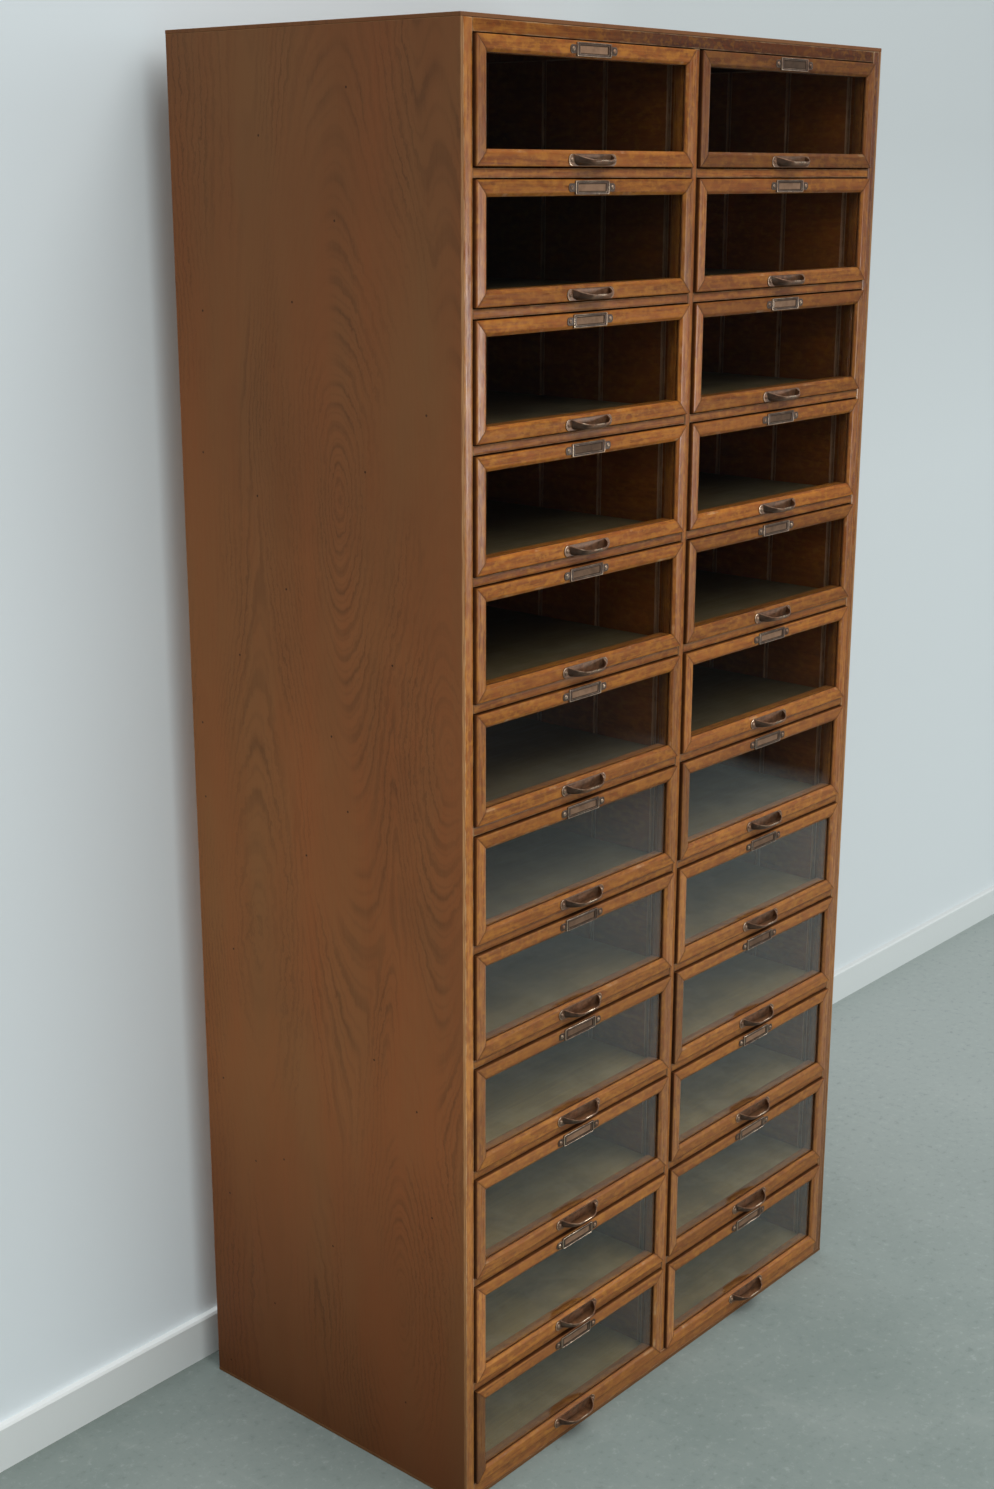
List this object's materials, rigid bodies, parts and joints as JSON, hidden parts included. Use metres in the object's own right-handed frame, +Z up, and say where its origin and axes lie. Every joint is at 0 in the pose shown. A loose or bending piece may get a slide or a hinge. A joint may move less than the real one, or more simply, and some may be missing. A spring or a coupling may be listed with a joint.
{
  "type": "haberdashery cabinet",
  "caption": "Tall free-standing shop cabinet with two columns of glass-fronted drawers, each with a cup pull and a label holder, in a thin plywood carcass.",
  "frame": {"origin": "middle of the underside, on the floor", "axes": "+X to the right seen from the front, +Y from the front to the back, +Z up"},
  "size_m": [0.939, 0.546, 2.002],
  "materials": {
    "oak": "orange-brown stained oak under worn satin varnish",
    "plywood": "dark brown stained plywood, matt, rotary-cut grain",
    "front_fittings": "drawer pane with its pull, label holder, card and screws",
    "glass": "clear sheet glass",
    "bronze": "oxidised bronze with rubbed edges",
    "card": "blank aged card"
  },
  "bodies": {
    "carcass": {"side_panel_left": "plywood", "side_panel_right": "plywood", "top_panel": "plywood", "base_panel": "plywood", "back_panel": "plywood", "front_stiles": "oak", "top_rail": "oak", "bottom_rail": "oak", "centre_muntin": "oak", "cross_rails": "oak", "centre_partition": "oak", "drawer_runners": "oak"},
    "drawer_left_01": {"drawer_left_01": "oak", "fittings_left_01": "front_fittings"},
    "drawer_left_02": {"drawer_left_02": "oak", "fittings_left_02": "front_fittings"},
    "drawer_left_03": {"drawer_left_03": "oak", "fittings_left_03": "front_fittings"},
    "drawer_left_04": {"drawer_left_04": "oak", "fittings_left_04": "front_fittings"},
    "drawer_left_05": {"drawer_left_05": "oak", "fittings_left_05": "front_fittings"},
    "drawer_left_06": {"drawer_left_06": "oak", "fittings_left_06": "front_fittings"},
    "drawer_left_07": {"drawer_left_07": "oak", "fittings_left_07": "front_fittings"},
    "drawer_left_08": {"drawer_left_08": "oak", "fittings_left_08": "front_fittings"},
    "drawer_left_09": {"drawer_left_09": "oak", "fittings_left_09": "front_fittings"},
    "drawer_left_10": {"drawer_left_10": "oak", "fittings_left_10": "front_fittings"},
    "drawer_left_11": {"drawer_left_11": "oak", "fittings_left_11": "front_fittings"},
    "drawer_left_12": {"drawer_left_12": "oak", "fittings_left_12": "front_fittings"},
    "drawer_right_01": {"drawer_right_01": "oak", "fittings_right_01": "front_fittings"},
    "drawer_right_02": {"drawer_right_02": "oak", "fittings_right_02": "front_fittings"},
    "drawer_right_03": {"drawer_right_03": "oak", "fittings_right_03": "front_fittings"},
    "drawer_right_04": {"drawer_right_04": "oak", "fittings_right_04": "front_fittings"},
    "drawer_right_05": {"drawer_right_05": "oak", "fittings_right_05": "front_fittings"},
    "drawer_right_06": {"drawer_right_06": "oak", "fittings_right_06": "front_fittings"},
    "drawer_right_07": {"drawer_right_07": "oak", "fittings_right_07": "front_fittings"},
    "drawer_right_08": {"drawer_right_08": "oak", "fittings_right_08": "front_fittings"},
    "drawer_right_09": {"drawer_right_09": "oak", "fittings_right_09": "front_fittings"},
    "drawer_right_10": {"drawer_right_10": "oak", "fittings_right_10": "front_fittings"},
    "drawer_right_11": {"drawer_right_11": "oak", "fittings_right_11": "front_fittings"},
    "drawer_right_12": {"drawer_right_12": "oak", "fittings_right_12": "front_fittings"}
  },
  "joints": [
    {"name": "slide_left_01", "type": "slide", "parent": "carcass", "child": "drawer_left_01", "axis": [0, -1, 0], "range_m": [0, 0.38]},
    {"name": "slide_left_02", "type": "slide", "parent": "carcass", "child": "drawer_left_02", "axis": [0, -1, 0], "range_m": [0, 0.38]},
    {"name": "slide_left_03", "type": "slide", "parent": "carcass", "child": "drawer_left_03", "axis": [0, -1, 0], "range_m": [0, 0.38]},
    {"name": "slide_left_04", "type": "slide", "parent": "carcass", "child": "drawer_left_04", "axis": [0, -1, 0], "range_m": [0, 0.38]},
    {"name": "slide_left_05", "type": "slide", "parent": "carcass", "child": "drawer_left_05", "axis": [0, -1, 0], "range_m": [0, 0.38]},
    {"name": "slide_left_06", "type": "slide", "parent": "carcass", "child": "drawer_left_06", "axis": [0, -1, 0], "range_m": [0, 0.38]},
    {"name": "slide_left_07", "type": "slide", "parent": "carcass", "child": "drawer_left_07", "axis": [0, -1, 0], "range_m": [0, 0.38]},
    {"name": "slide_left_08", "type": "slide", "parent": "carcass", "child": "drawer_left_08", "axis": [0, -1, 0], "range_m": [0, 0.38]},
    {"name": "slide_left_09", "type": "slide", "parent": "carcass", "child": "drawer_left_09", "axis": [0, -1, 0], "range_m": [0, 0.38]},
    {"name": "slide_left_10", "type": "slide", "parent": "carcass", "child": "drawer_left_10", "axis": [0, -1, 0], "range_m": [0, 0.38]},
    {"name": "slide_left_11", "type": "slide", "parent": "carcass", "child": "drawer_left_11", "axis": [0, -1, 0], "range_m": [0, 0.38]},
    {"name": "slide_left_12", "type": "slide", "parent": "carcass", "child": "drawer_left_12", "axis": [0, -1, 0], "range_m": [0, 0.38]},
    {"name": "slide_right_01", "type": "slide", "parent": "carcass", "child": "drawer_right_01", "axis": [0, -1, 0], "range_m": [0, 0.38]},
    {"name": "slide_right_02", "type": "slide", "parent": "carcass", "child": "drawer_right_02", "axis": [0, -1, 0], "range_m": [0, 0.38]},
    {"name": "slide_right_03", "type": "slide", "parent": "carcass", "child": "drawer_right_03", "axis": [0, -1, 0], "range_m": [0, 0.38]},
    {"name": "slide_right_04", "type": "slide", "parent": "carcass", "child": "drawer_right_04", "axis": [0, -1, 0], "range_m": [0, 0.38]},
    {"name": "slide_right_05", "type": "slide", "parent": "carcass", "child": "drawer_right_05", "axis": [0, -1, 0], "range_m": [0, 0.38]},
    {"name": "slide_right_06", "type": "slide", "parent": "carcass", "child": "drawer_right_06", "axis": [0, -1, 0], "range_m": [0, 0.38]},
    {"name": "slide_right_07", "type": "slide", "parent": "carcass", "child": "drawer_right_07", "axis": [0, -1, 0], "range_m": [0, 0.38]},
    {"name": "slide_right_08", "type": "slide", "parent": "carcass", "child": "drawer_right_08", "axis": [0, -1, 0], "range_m": [0, 0.38]},
    {"name": "slide_right_09", "type": "slide", "parent": "carcass", "child": "drawer_right_09", "axis": [0, -1, 0], "range_m": [0, 0.38]},
    {"name": "slide_right_10", "type": "slide", "parent": "carcass", "child": "drawer_right_10", "axis": [0, -1, 0], "range_m": [0, 0.38]},
    {"name": "slide_right_11", "type": "slide", "parent": "carcass", "child": "drawer_right_11", "axis": [0, -1, 0], "range_m": [0, 0.38]},
    {"name": "slide_right_12", "type": "slide", "parent": "carcass", "child": "drawer_right_12", "axis": [0, -1, 0], "range_m": [0, 0.38]}
  ]
}
